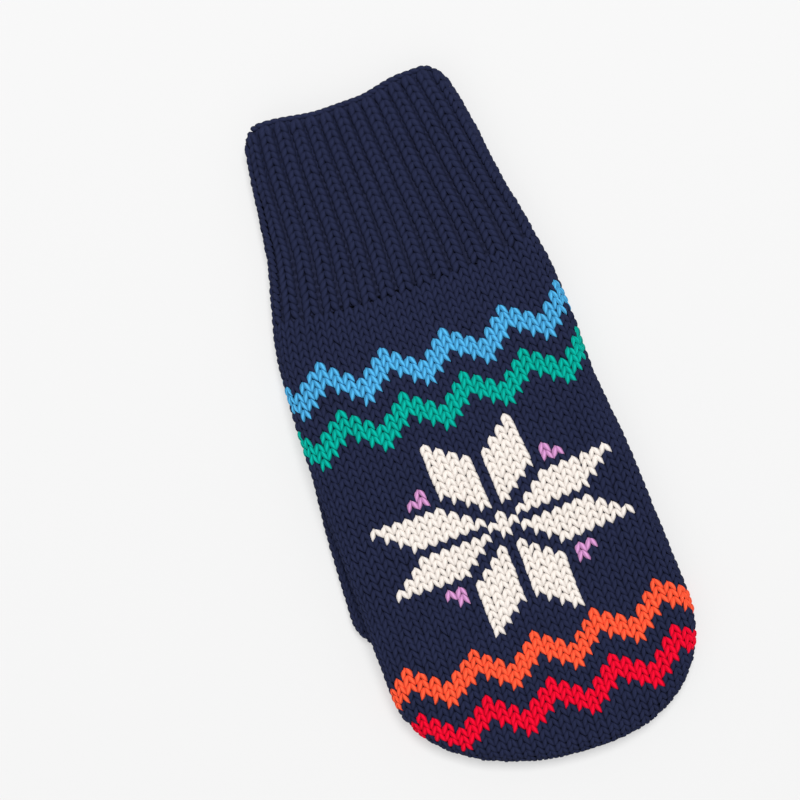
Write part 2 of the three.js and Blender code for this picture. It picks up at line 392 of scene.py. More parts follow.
class TubeSurface:
    """The outer surface of a flat tube, on to which an unrolled pattern is wrapped."""

    table_gap = 0.02

    def __init__(self, field_of_tube: DistanceField, rounding: float) -> None:
        """Keeps the tube's plan.

        Args:
            field_of_tube: distances inside the tube's outline.
            rounding: the radius of the two side folds.
        """
        self.field = field_of_tube
        self.rounding = rounding
        self.overhang = (math.pi / 2 - 1) * rounding

    def heights(self, x: Array, y: Array, depth: Array, base_y: Array) -> Heights:
        """The heights of the side fold, the back and the palm, which each tube gives."""
        raise NotImplementedError

    def wrapped(self, x: Array, y: Array) -> Array:
        """The distance from the fold along the surface at places of the pattern."""
        return self.field.read(self.field.distance, x, y) + self.overhang

    def place(self, x: Array, y: Array, face: Face, lift: Array, base_y: Array) -> Array:
        """Wraps places of the unrolled pattern on to the tube.

        Args:
            x: places across the pattern.
            y: places along it.
            face: the face that the pattern lies on before it turns round a fold.
            lift: height over the surface.
            base_y: where the stitch that each place belongs to starts.

        Returns:
            Points, one row each.
        """
        depth, in_x, in_y = self.field.inward(x, y)
        turn = np.clip((depth + self.overhang) / self.rounding, -math.pi / 2, math.pi / 2)
        around = depth + self.overhang < self.rounding * math.pi / 2
        inward = np.where(around, self.rounding * (1 - np.cos(turn)), depth)
        shift = inward - depth - lift * np.cos(turn)
        at_x, at_y = x + in_x * shift, y + in_y * shift
        edge, back, palm = self.heights(at_x, at_y, np.maximum(inward, 0), base_y)
        rise = np.sin(turn) * face.value
        z = edge + np.where(rise > 0, rise * (back - edge), rise * (edge - palm)) + lift * rise
        return np.stack([at_x, at_y, np.maximum(z, self.table_gap)], axis=-1)


class HandSurface(TubeSurface):
    """The surface of the cuff and the hand, which is thicker where it lies on the thumb."""

    def __init__(self, thumb_field: DistanceField) -> None:
        """Builds the plan of the cuff and the hand.

        Args:
            thumb_field: distances inside the thumb's closed outline.
        """
        s = SIZES
        top = s.wrist_y + DistanceField.margin * 2
        outline = plan_outline(mitten_sides, top, s.tip_start_y, s.tip_y)
        super().__init__(DistanceField(outline, closed=False), s.edge_round)
        self.outline = outline
        self.thumb_field = thumb_field
        self.slit_end = float(thumb_sides(np.array([s.thumb_root_y]))[1][0])

    def past_thumb(self, x: Array, y: Array) -> Array:
        """How far places in the plan lie outside the thumb, and 0 over it."""
        return np.maximum(0, -self.thumb_field.read(self.thumb_field.distance, x, y))

    def heights(self, x: Array, y: Array, depth: Array, base_y: Array) -> Heights:
        """The heights of the side fold, the back and the palm.

        Args:
            x: places across.
            y: places along.
            depth: distance inside the outline.
            base_y: where the stitch of each place starts, which sets its side of the slit.

        Returns:
            The three heights at each place.
        """
        s = SIZES
        near = fall_off(self.past_thumb(x, y) / s.back_fall)
        crown = s.back_crown * smooth(depth, self.rounding, self.rounding + 30)
        crown = crown * fall_off((y - s.cuff_joint_y) / 6 + 1)
        edge = mix(s.hand_thickness / 2, s.edge_over_thumb, near)
        back = mix(s.hand_thickness, s.back_over_thumb, near) + crown
        past_end = smooth(x - self.slit_end, 0, s.slit_end_length)
        along = base_y + (y - base_y) * past_end
        run = s.slit_step + s.slit_end_slope * past_end
        past_slit = fall_off((along - s.thumb_root_y) / run)
        under = fall_off(self.past_thumb(x, np.minimum(y, s.thumb_root_y)) / s.palm_fall)
        return edge, back, s.palm_over_thumb * past_slit * under


class ThumbSurface(TubeSurface):
    """The surface of the thumb, a flat tube that lies on the table."""

    def __init__(self) -> None:
        """Builds the plan of the thumb, which runs on past its root."""
        s = SIZES
        tip_start = s.thumb_tip_y + s.thumb_tip_length
        top = s.thumb_root_y + DistanceField.margin
        outline = plan_outline(thumb_sides, top, tip_start, s.thumb_tip_y)
        super().__init__(DistanceField(outline, closed=False), s.thumb_thickness / 2)
        self.outline = outline

    def heights(self, x: Array, y: Array, depth: Array, base_y: Array) -> Heights:
        """The heights of the side fold, the back and the palm, the same everywhere."""
        whole = np.full(np.shape(x), SIZES.thumb_thickness)
        return whole / 2, whole, whole * 0


def thumb_plan_field() -> DistanceField:
    """Distances inside the thumb's outline, closed across its root."""
    s = SIZES
    tip_start = s.thumb_tip_y + s.thumb_tip_length
    outline = plan_outline(thumb_sides, s.thumb_root_y, tip_start, s.thumb_tip_y)
    return DistanceField(outline, closed=True)


# How far the pattern's middle column lies from the middle of the hand, in columns
COLUMN_DRIFT = Profile(
    [
        (0.0, 0.24),
        (0.077, 0.31),
        (0.188, -0.25),
        (0.303, -0.62),
        (0.41, -0.7),
        (0.59, -0.72),
        (0.765, -0.7),
        (1.0, -0.64),
    ]
)

# The middle columns' width as a share of the average one, by share down
MIDDLE_PITCH = Profile(
    [(0.0, 0.97), (0.25, 0.98), (0.41, 1.0), (0.59, 0.94), (0.73, 0.92), (0.87, 0.98), (1.0, 0.99)]
)

# How far the rows bow towards the cuff at -12, -6, 0, 6 and 12 columns, by share down
ROW_BOW = Profile(
    [
        (0.0, 3.9, 1.1, 0.0, 0.7, 3.0),
        (0.12, 3.8, 1.1, 0.0, 0.5, 2.2),
        (0.2, 2.0, 0.4, -0.1, 0.4, 1.2),
        (0.27, 1.0, 0.0, 0.1, 0.7, 1.1),
        (0.41, 0.7, -0.3, 0.2, 0.5, 1.8),
        (0.57, -0.2, -0.3, -0.5, 0.0, 1.4),
        (0.65, 1.3, 0.0, -0.7, -0.3, 2.1),
        (0.75, 2.3, 0.5, -0.65, -0.1, 2.3),
        (1.0, 2.2, 0.4, -0.7, -0.2, 1.8),
    ]
)

# The same for the ribs down the cuff, in ribs
RIB_DRIFT = Profile([(0.0, -0.42), (0.28, -0.37), (0.72, -0.1), (1.0, -0.05)])


@dataclass(frozen=True)
class Pattern:
    """The columns and rows of the hand's stitches, unrolled."""

    columns: int = 30
    first_row: int = -31
    last_row: int = 31
    star_y: float = -37.5
    row_above: float = 2.943
    row_below: float = 3.022
    bow_step: float = 6.0

    def row_y(self, row: Array) -> Array:
        """Where a row crosses the middle of the hand."""
        return self.star_y - row * np.where(row < 0, self.row_above, self.row_below)

    def drift(self, y: Array) -> Array:
        """The place of the middle column, in columns from the hand's middle line."""
        return COLUMN_DRIFT.at(self.down(y))

    def down(self, y: Array) -> Array:
        """The share of the way from the cuff to the tip."""
        s = SIZES
        return (s.cuff_joint_y - y) / (s.cuff_joint_y - s.tip_y)

    def bowed(self, place: Array, y: Array) -> Array:
        """How far a row bows towards the cuff at a place across.

        Args:
            place: columns from the hand's middle line.
            y: where the row crosses the middle.

        Returns:
            The bow.
        """
        knots = [ROW_BOW.at(self.down(y), k) for k in range(ROW_BOW.values.shape[1])]
        first, last = 2 * knots[0] - knots[1], 2 * knots[-1] - knots[-2]
        bows = np.stack([first, *knots, last])
        across = place / self.bow_step + len(knots) // 2
        inside = np.clip(across, 0, len(knots) - 1)
        k = np.minimum(inside.astype(int), len(knots) - 2)
        t = inside - k
        a, b, c, d = (np.take_along_axis(bows, (k + i)[None], axis=0)[0] for i in range(4))
        curve = b + t * ((c - a) + t * ((2 * a - 5 * b + 4 * c - d) + t * (3 * (b - c) + d - a))) / 2
        return curve + (across - inside) * (c - b)

    def across(self, place: Array, y: Array) -> tuple[Array, Array]:
        """Where a column runs.

        Args:
            place: columns from the hand's middle line.
            y: places along the hand.

        Returns:
            The unrolled x, and the width of a column there.
        """
        left, right = mitten_sides(np.maximum(y, SIZES.tip_start_y))
        overhang = (math.pi / 2 - 1) * SIZES.edge_round
        reach = (right - left) / 2 + overhang
        half = self.columns / 2
        middle_pitch = MIDDLE_PITCH.at(self.down(y))
        straight = middle_pitch * reach / half
        widening = (1 - middle_pitch) * reach / half**3
        x = (left + right) / 2 + straight * place + widening * place**3
        return x, straight + 3 * widening * place**2


def star_chart(column: Array, row: Array) -> tuple[Array, Array]:
    """The eight-petalled star, one entry for each stitch.

    Args:
        column: columns from the star's middle.
        row: rows from the star's middle.

    Returns:
        Which stitches are cream, and which are lilac.
    """
    k, r = np.abs(column), np.abs(row)
    upright = (k >= 1) & (k <= 4) & (r >= 2 + k) & (r <= 8 + k)
    level = (k >= 2) & (k <= 11) & (r >= np.maximum(1, k - 7)) & (r <= np.minimum(k - 1, 4))
    heart = ((k == 0) & (r <= 1)) | ((k == 1) & (r == 0))
    lilac = ((k == 6) & (r >= 6) & (r <= 7)) | ((k == 7) & (r == 6))
    return upright | level | heart, lilac


@dataclass(frozen=True)
class Zigzag:
    """A band of zigzags that runs round the hand."""

    yarn: Yarn
    peak_row: int
    peak_column: int
    repeat: int = 6
    depth: int = 3

    def covers(self, column: Array, row: Array) -> Array:
        """Which stitches are in the band.

        Args:
            column: columns counted round the hand.
            row: rows of the pattern.

        Returns:
            True for the band's stitches.
        """
        half = self.repeat // 2
        from_peak = np.abs((column - self.peak_column + half) % self.repeat - half)
        start = self.peak_row + from_peak
        return (row >= start) & (row < start + self.depth)


ZIGZAGS = (
    Zigzag(Yarn.LIGHT_BLUE, -25, 2),
    Zigzag(Yarn.GREEN, -19, 2),
    Zigzag(Yarn.ORANGE, 14, 5),
    Zigzag(Yarn.RED, 20, 5),
)


@dataclass(frozen=True)
class LeafShape:
    """One leg of a stitch: a grain of yarn that tapers to both ends."""

    rings: tuple[float, ...] = (0.07, 0.24, 0.42, 0.6, 0.78, 0.93)
    sides: int = 6
    radius: float = 1.01
    fullness: float = 0.63
    flatness: float = 0.62

    @property
    def shares(self) -> Array:
        """The stations along the leg, its two ends included."""
        return np.array([0, *self.rings, 1])

    @property
    def radii(self) -> Array:
        """The radius at each ring."""
        return self.radius * np.sin(np.pi * np.array(self.rings)) ** self.fullness

    @property
    def vertex_count(self) -> int:
        """The vertices of one leg."""
        return len(self.rings) * self.sides + 2

    def faces(self) -> tuple[Array, Array, Array, Array]:
        """The faces of one leg.

        Returns:
            The quads and triangles by vertex, and the map places of their corners.
        """
        rings, sides = len(self.rings), self.sides
        count = rings + 1
        quads, quad_map, tris, tri_map = [], [], [], []
        for i in range(rings - 1):
            for k in range(sides):
                turn = (k + 1) % sides
                low, high = i * sides, (i + 1) * sides
                quads.append((low + k, high + k, high + turn, low + turn))
                u, v = (i + 1) / count, (i + 2) / count
                quad_map += [(u, k / sides), (v, k / sides)]
                quad_map += [(v, (k + 1) / sides), (u, (k + 1) / sides)]
        start, end = rings * sides, rings * sides + 1
        last = (rings - 1) * sides
        for k in range(sides):
            turn = (k + 1) % sides
            tris.append((start, k, turn))
            tris.append((end, last + turn, last + k))
            a, b, c = k / sides, (k + 1) / sides, (k + 0.5) / sides
            tri_map += [(0, c), (1 / count, a), (1 / count, b)]
            tri_map += [(1, c), (rings / count, b), (rings / count, a)]
        return np.array(quads), np.array(tris), np.array(quad_map), np.array(tri_map)


@dataclass
class LegBatch:
    """Many legs of yarn on one face of a tube, as the lines that run down their middles."""

    x: Array
    y: Array
    lift: Array
    base_y: Array
    size: Array
    face: Face

    def points(self, surface: TubeSurface, leaf: LeafShape) -> Array:
        """Sweeps the leaf along the lines and wraps it on to the tube.

        Args:
            surface: the tube.
            leaf: the shape of each leg.

        Returns:
            The vertices of all the legs.
        """
        run_x = np.gradient(self.x, axis=1)
        run_y = np.gradient(self.y, axis=1)
        length = np.maximum(np.hypot(run_x, run_y), 1e-9)
        side_x, side_y = (run_y / length)[:, 1:-1, None], (-run_x / length)[:, 1:-1, None]
        turn = np.arange(leaf.sides) * 2 * math.pi / leaf.sides
        radius = leaf.radii[None, :, None] * self.size[:, None, None]
        out = radius * np.cos(turn)
        up = radius * np.sin(turn) * leaf.flatness
        count = len(self.x)
        ends = [0, -1]
        x = np.concatenate(
            [(self.x[:, 1:-1, None] + side_x * out).reshape(count, -1), self.x[:, ends]], axis=1
        )
        y = np.concatenate(
            [(self.y[:, 1:-1, None] + side_y * out).reshape(count, -1), self.y[:, ends]], axis=1
        )
        lift = np.concatenate(
            [(self.lift[:, 1:-1, None] + up).reshape(count, -1), self.lift[:, ends]], axis=1
        )
        base = np.broadcast_to(self.base_y[:, None], x.shape)
        return surface.place(x, y, self.face, lift, base).reshape(-1, 3)


def add_mesh(
    name: str, points: Array, faces: Sequence[Array], corners: Array | None = None
) -> bpy.types.Object:
    """Makes a smooth mesh object.

    Args:
        name: the piece's name.
        points: vertices in millimetres.
        faces: arrays of faces, each with one number of corners.
        corners: the map place of each corner, in the faces' order.

    Returns:
        The object, linked to the scene.
    """
    mesh = bpy.data.meshes.new(name)
    mesh.vertices.add(len(points))
    mesh.vertices.foreach_set("co", (points * MM).astype(np.float32).ravel())
    loops = np.concatenate([group.ravel() for group in faces])
    mesh.loops.add(len(loops))
    mesh.loops.foreach_set("vertex_index", loops.astype(np.int32))
    widths = np.concatenate([np.full(len(group), group.shape[1]) for group in faces])
    starts = np.concatenate([[0], np.cumsum(widths)[:-1]])
    mesh.polygons.add(len(widths))
    mesh.polygons.foreach_set("loop_start", starts.astype(np.int32))
    mesh.polygons.foreach_set("use_smooth", np.ones(len(widths), bool))
    if corners is not None:
        layer = mesh.uv_layers.new(name=LEG_MAP)
        layer.data.foreach_set("uv", corners.astype(np.float32).ravel())
    mesh.update(calc_edges=True)
    piece = bpy.data.objects.new(name, mesh)
    bpy.context.scene.collection.objects.link(piece)
    return piece


def add_legs(
    name: str, batches: Sequence[LegBatch], surface: TubeSurface, leaf: LeafShape
) -> bpy.types.Object:
    """Makes one mesh of many legs of yarn.

    Args:
        name: the piece's name.
        batches: the legs, by face.
        surface: the tube that they lie on.
        leaf: the shape of each leg.

    Returns:
        The object.
    """
    quads, tris, quad_map, tri_map = leaf.faces()
    points, all_quads, all_tris = [], [], []
    start = 0
    for batch in batches:
        points.append(batch.points(surface, leaf))
        offset = start + np.arange(len(batch.x))[:, None, None] * leaf.vertex_count
        for made, group in ((all_quads, quads), (all_tris, tris)):
            placed = (offset + group[None]).reshape(-1, group.shape[1])
            made.append(placed[:, ::-1] if batch.face is Face.PALM else placed)
        start += len(batch.x) * leaf.vertex_count
    corner_maps = []
    for group, width in ((quad_map, 4), (tri_map, 3)):
        for batch in batches:
            each = group.reshape(-1, width, 2)
            each = each[:, ::-1] if batch.face is Face.PALM else each
            corner_maps.append(np.tile(each.reshape(-1, 2), (len(batch.x), 1)))
    return add_mesh(
        name,
        np.concatenate(points),
        [np.concatenate(all_quads), np.concatenate(all_tris)],
        np.concatenate(corner_maps),
    )


def linear(colour: tuple[int, int, int]) -> tuple[float, float, float, float]:
    """A screen colour as the renderer counts it.

    Args:
        colour: red, green and blue from 0 to 255.

    Returns:
        Linear red, green, blue and full cover.
    """
    shares = [part / 255 for part in colour]
    parts = [s / 12.92 if s <= 0.04045 else ((s + 0.055) / 1.055) ** 2.4 for s in shares]
    return parts[0], parts[1], parts[2], 1.0


class NodeWork:
    """A small helper that adds and links shader nodes."""

    def __init__(self, material: bpy.types.Material) -> None:
        """Starts on an empty node tree of the material."""
        material.use_nodes = True
        self.tree = material.node_tree
        self.tree.nodes.clear()

    def add(
        self, kind: str, inputs: dict[str | int, object] | None = None, **settings: object
    ) -> bpy.types.Node:
        """Adds a node.

        Args:
            kind: the node's type.
            inputs: values or sockets for its inputs.
            settings: its properties.

        Returns:
            The node.
        """
        node = self.tree.nodes.new(kind)
        for key, value in settings.items():
            setattr(node, key, value)
        for key, value in (inputs or {}).items():
            if isinstance(value, bpy.types.NodeSocket):
                self.tree.links.new(value, node.inputs[key])
            else:
                node.inputs[key].default_value = value
        return node

    def math(self, operation: str, *values: object) -> bpy.types.NodeSocket:
        """The result of an operation on numbers or sockets."""
        return self.add("ShaderNodeMath", dict(enumerate(values)), operation=operation).outputs[0]


@dataclass(frozen=True)
class YarnFinish:
    """Plied wool and acrylic yarn in one colour."""

    name: str
    colour: tuple[int, int, int]
    # How much of the colour the painted shade in the ply grooves leaves, as a share of it
    groove_shade: float = 0.66
    plies: float = 3.0
    lay: float = 0.8
    roughness: float = 0.92
    sheen: float = 0.08
    mottle: float = 0.12
    ply_depth: float = 0.00018

    def material(self) -> bpy.types.Material:
        """Builds the finish: ply grooves that wind round each leg, with painted shade that darkens the
        colour in each groove, fine fibres and mottle.
        """
        made = bpy.data.materials.new(self.name)
        work = NodeWork(made)
        spot = work.add("ShaderNodeUVMap", uv_map=LEG_MAP).outputs["UV"]
        parts = work.add("ShaderNodeSeparateXYZ", {0: spot})
        winding = work.math("MULTIPLY", parts.outputs["Y"], self.plies * 2 * math.pi)
        phase = work.math("MULTIPLY_ADD", parts.outputs["X"], self.lay * 2 * math.pi, winding)
        ply = work.math("MULTIPLY_ADD", work.math("SINE", phase), 0.5, 0.5)
        place = work.add("ShaderNodeTexCoord").outputs["Object"]
        fibres = work.add(
            "ShaderNodeTexNoise", {"Vector": place, "Scale": 2600.0, "Detail": 4.0, "Roughness": 0.7}
        ).outputs["Fac"]
        patches = work.add(
            "ShaderNodeTexNoise", {"Vector": place, "Scale": 130.0, "Detail": 2.0}
        ).outputs["Fac"]
        # Painted shade: the colour is darkened in the grooves between the plies; the two noises below add
        # random mottle
        shade = work.math("MULTIPLY_ADD", ply, 1 - self.groove_shade, self.groove_shade)
        shade = work.math(
            "MULTIPLY", shade, work.math("MULTIPLY_ADD", patches, 2 * self.mottle, 1 - self.mottle)
        )
        shade = work.math(
            "MULTIPLY", shade, work.math("MULTIPLY_ADD", fibres, 2 * self.mottle, 1 - self.mottle)
        )
        colour = work.add(
            "ShaderNodeMix",
            {"Factor": 1.0, 6: linear(self.colour), 7: shade},
            data_type="RGBA",
            blend_type="MULTIPLY",
        ).outputs[2]
        relief = work.math("MULTIPLY_ADD", fibres, 0.5, ply)
        bump = work.add(
            "ShaderNodeBump", {"Height": relief, "Strength": 0.7, "Distance": self.ply_depth}
        ).outputs[0]
        surface = work.add(
            "ShaderNodeBsdfPrincipled",
            {
                "Base Color": colour,
                "Roughness": self.roughness,
                "Specular IOR Level": 0.08,
                "Sheen Weight": self.sheen,
                "Sheen Roughness": 0.5,
                "Sheen Tint": linear(self.colour),
                "Normal": bump,
            },
        ).outputs[0]
        work.add("ShaderNodeOutputMaterial", {"Surface": surface})
        return made


@dataclass(frozen=True)
class LiningFinish:
    """The inner side of the knitted fabric, seen in the holes and through the mouth."""

    name: str
    colour: tuple[int, int, int]
    row_spacing: float = 0.003

    def material(self) -> bpy.types.Material:
        """Builds the finish: fine loops in rows, with painted shade in the hollows between the loops, and
        mottle.
        """
        made = bpy.data.materials.new(self.name)
        work = NodeWork(made)
        place = work.add("ShaderNodeTexCoord").outputs["Object"]
        parts = work.add("ShaderNodeSeparateXYZ", {0: place})
        rows = work.math("MULTIPLY", parts.outputs["Y"], 2 * math.pi / self.row_spacing)
        wales = work.math("MULTIPLY", parts.outputs["X"], math.pi / self.row_spacing)
        loops = work.math("MULTIPLY", work.math("SINE", rows), work.math("SINE", wales))
        grain = work.add(
            "ShaderNodeTexNoise", {"Vector": place, "Scale": 1500.0, "Detail": 4.0}
        ).outputs["Fac"]
        relief = work.math("MULTIPLY_ADD", grain, 0.6, loops)
        # Painted shade and mottle: the colour darkens where the loops' relief is low, and the grain adds
        # random tone
        shade = work.math("MULTIPLY_ADD", relief, 0.25, 0.75)
        colour = work.add(
            "ShaderNodeMix",
            {"Factor": 1.0, 6: linear(self.colour), 7: shade},
            data_type="RGBA",
            blend_type="MULTIPLY",
        ).outputs[2]
        bump = work.add(
            "ShaderNodeBump", {"Height": relief, "Strength": 0.8, "Distance": 0.0005}
        ).outputs[0]
        surface = work.add(
            "ShaderNodeBsdfPrincipled",
            {
                "Base Color": colour,
                "Roughness": 0.95,
                "Specular IOR Level": 0.08,
                "Normal": bump,
            },
        ).outputs[0]
        work.add("ShaderNodeOutputMaterial", {"Surface": surface})
        return made


FINISHES = {
    Yarn.NAVY: YarnFinish("navy yarn", (32, 37, 63), groove_shade=0.88, mottle=0.14),
    Yarn.LIGHT_BLUE: YarnFinish("light blue yarn", (76, 168, 218), groove_shade=0.56),
    Yarn.GREEN: YarnFinish("green yarn", (1, 167, 151), groove_shade=0.6),
    Yarn.ORANGE: YarnFinish("orange yarn", (255, 91, 58)),
    Yarn.RED: YarnFinish("red yarn", (233, 6, 46)),
    Yarn.CREAM: YarnFinish("cream yarn", (225, 217, 210), groove_shade=0.92, mottle=0.05),
    Yarn.LILAC: YarnFinish("lilac yarn", (203, 143, 195)),
}
LINING = LiningFinish("navy fabric inside", (34, 38, 62))


class Dresser:
    """Gives finished pieces their material and body."""

    def __init__(self) -> None:
        """Builds every finish once."""
        self.yarns = {yarn: finish.material() for yarn, finish in FINISHES.items()}
        self.lining = LINING.material()
        self.count = 0

    def dress(
        self, piece: bpy.types.Object, yarn: Yarn, node: str, lining: bool = False
    ) -> bpy.types.Object:
        """Finishes a piece.

        Args:
            piece: the mesh object.
            yarn: its yarn.
            node: the solid that it stands for.
            lining: whether it is the fabric's inner side.

        Returns:
            The piece.
        """
        piece.data.materials.append(self.lining if lining else self.yarns[yarn])
        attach(piece, "root")
        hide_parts(node)
        self.count += 1
        faces = len(piece.data.loops) - 2 * len(piece.data.polygons)
        log.info("%s: %d triangles", piece.name, faces)
        return piece


@dataclass
class StitchShape:
    """How a stitch spreads from its tip, in shares of a column and in millimetres."""

    start: float = 0.02
    spread: float = 0.47
    spread_power: float = 1.0
    length: float = 4.9
    crest: float = 0.35
    dip: float = 3.2
    sunk: float = 1.1
    leaf: LeafShape = field(default_factory=LeafShape)

    def lines(self) -> tuple[Array, Array, Array]:
        """The middle line of the right leg.

        Returns:
            The place across in columns, the place down, and the lift.
        """
        t = self.leaf.shares
        across = self.start + self.spread * t**self.spread_power
        lift = self.crest - self.dip * (t - 0.5) ** 2 - self.sunk
        return across, self.length * t, lift


@dataclass
class Unevenness:
    """The small differences between hand-made stitches."""

    seed: int
    shift: float = 0.12
    lean: float = 0.025
    growth: float = 0.05
    rise: float = 0.08

    def draw(self, count: int) -> dict[str, Array]:
        """Draws the differences for a number of legs.

        Args:
            count: the number of legs.

        Returns:
            Shifts across and along, lean, size and rise.
        """
        rng = np.random.default_rng(self.seed)
        return {
            "across": rng.normal(0, self.shift / 2, count),
            "along": rng.normal(0, self.shift, count),
            "lean": rng.normal(0, self.lean, count),
            "size": 1 + rng.normal(0, self.growth, count),
            "rise": rng.normal(0, self.rise, count),
        }


@dataclass
class Hand:
    """The hand: star and zigzags in coloured yarn on a navy ground."""

    surface: HandSurface
    dresser: Dresser
    pattern: Pattern = field(default_factory=Pattern)
    stitch: StitchShape = field(default_factory=StitchShape)
    tip_overlap: float = 1.0
    chain_step: float = 2.9
    chain_inset: float = 1.3
    chain_slant: float = 0.5
    chain_size: float = 1.15

    def stitches(self, face: Face) -> tuple[Array, Array, Array, Array]:
        """The stitches that lie on one face.

        Args:
            face: the back or the palm.

        Returns:
            Columns round the hand, columns from the star, rows, and places across.
        """
        p = self.pattern
        half = p.columns // 2
        rows = np.arange(p.first_row, p.last_row + 1)
        column, row = np.meshgrid(np.arange(-half - 1, half + 2), rows, indexing="ij")
        column, row = column.ravel(), row.ravel()
        middle = p.row_y(row)
        drift = p.drift(middle)
        place = column - drift if face is Face.BACK else column + drift
        keep = np.abs(place) <= half
        if face is Face.PALM:
            keep &= np.abs(place) < half - 1e-6
        y = middle + p.bowed(place, middle)
        x, _ = p.across(place, y)
        wrapped = self.surface.wrapped(x, y - self.stitch.length / 2)
        keep &= (y > SIZES.tip_start_y) | (wrapped > self.tip_overlap)
        around = column if face is Face.BACK else 2 * half - column
        return around[keep], column[keep], row[keep], place[keep]

    def legs(self, face: Face, place: Array, row: Array, draws: dict[str, Array]) -> LegBatch:
        """The lines of both legs of each stitch.

        Args:
            face: the back or the palm.
            place: columns from the middle line at each stitch.
            row: the row of each stitch.
            draws: the unevenness of each leg.

        Returns:
            The legs, the left ones first.
        """
        p = self.pattern
        across, down, lift = self.stitch.lines()
        middle = p.row_y(row)
        start_y = middle + p.bowed(place, middle)
        column = place + p.drift(middle)
        batches_x, batches_y = [], []
        for side in (-1, 1):
            y = start_y[:, None] - down[None]
            here = column[:, None] - p.drift(y)
            x, pitch = p.across(here, y)
            batches_x.append(x + side * across[None] * pitch)
            batches_y.append(y)
        x, y = np.concatenate(batches_x), np.concatenate(batches_y)
        share = self.stitch.leaf.shares[None]
        x = x + draws["across"][:, None] + draws["lean"][:, None] * self.stitch.length * share
        y = y + draws["along"][:, None]
        lifts = lift[None] + draws["rise"][:, None] + np.zeros_like(x)
        return LegBatch(x, y, lifts, np.tile(start_y, 2), draws["size"], face)

    def yarn_of(self, around: Array, column: Array, row: Array) -> Array:
        """The yarn of each stitch, as its place in the list of yarns."""
        order = list(Yarn)
        chosen = np.full(len(row), order.index(Yarn.NAVY))
        cream, lilac = star_chart(column, row)
        chosen[cream] = order.index(Yarn.CREAM)
        chosen[lilac] = order.index(Yarn.LILAC)
        for band in ZIGZAGS:
            chosen[band.covers(around, row)] = order.index(band.yarn)
        return chosen

    def build(self) -> None:
        """Knits both faces, yarn by yarn."""
        parts: dict[tuple[Yarn, str], list[LegBatch]] = {}
        for seed, face in enumerate(Face):
            around, column, row, place = self.stitches(face)
            draws = Unevenness(seed + 11).draw(2 * len(row))
            yarns = self.yarn_of(around, column, row)
            for k, yarn in enumerate(Yarn):
                groups = {"": yarns == k}
                if yarn is Yarn.NAVY:
                    upper = row < 0
                    where = face.name.lower()
                    groups = {
                        f"_upper_{where}": (yarns == k) & upper,
                        f"_lower_{where}": (yarns == k) & ~upper,
                    }
                for label, mask in groups.items():
                    both = np.tile(mask, 2)
                    own = {key: value[both] for key, value in draws.items()}
                    legs = self.legs(face, place[mask], row[mask], own)
                    parts.setdefault((yarn, label), []).append(legs)
        names = {
            Yarn.NAVY: "hand_ground",
            Yarn.CREAM: "star",
            Yarn.LILAC: "star_corners",
            Yarn.LIGHT_BLUE: "light_blue_zigzags",
            Yarn.GREEN: "green_zigzags",
            Yarn.ORANGE: "orange_zigzags",
            Yarn.RED: "red_zigzags",
        }
        for (yarn, label), batches in parts.items():
            name = names[yarn] + label
            piece = add_legs(name, batches, self.surface, self.stitch.leaf)
            self.dresser.dress(piece, yarn, "hand")
        self.build_chain()

    def build_chain(self) -> None:
        """Lays a row of legs on each side of the fold round the tip, which they close."""
        line = self.surface.outline
        line = line[line[:, 1] < SIZES.tip_start_y - SIZES.tip_length / 2]
        run = np.concatenate([[0], np.cumsum(np.hypot(*np.diff(line, axis=0).T))])
        count = int(run[-1] / self.chain_step)
        leaf = self.stitch.leaf
        along = leaf.shares[None] - 0.5
        starts = (np.arange(count) + 0.5) * run[-1] / count
        places = starts[:, None] + self.stitch.length * along
        batches = []
        for face in Face:
            x, y = (np.interp(places, run, line[:, k]) for k in range(2))
            _, in_x, in_y = self.surface.field.inward(x, y)
            inset = self.chain_inset - self.surface.overhang + self.chain_slant * 2 * along
            x, y = x + in_x * inset, y + in_y * inset
            lifts = -self.stitch.sunk - self.stitch.dip / 2 * along**2 + np.zeros_like(x)
            sizes = np.full(count, self.chain_size)
            batches.append(LegBatch(x, y, lifts, starts * 0 + SIZES.tip_y, sizes, face))
        piece = add_legs("tip_edge", batches, self.surface, leaf)
        self.dresser.dress(piece, Yarn.NAVY, "hand")


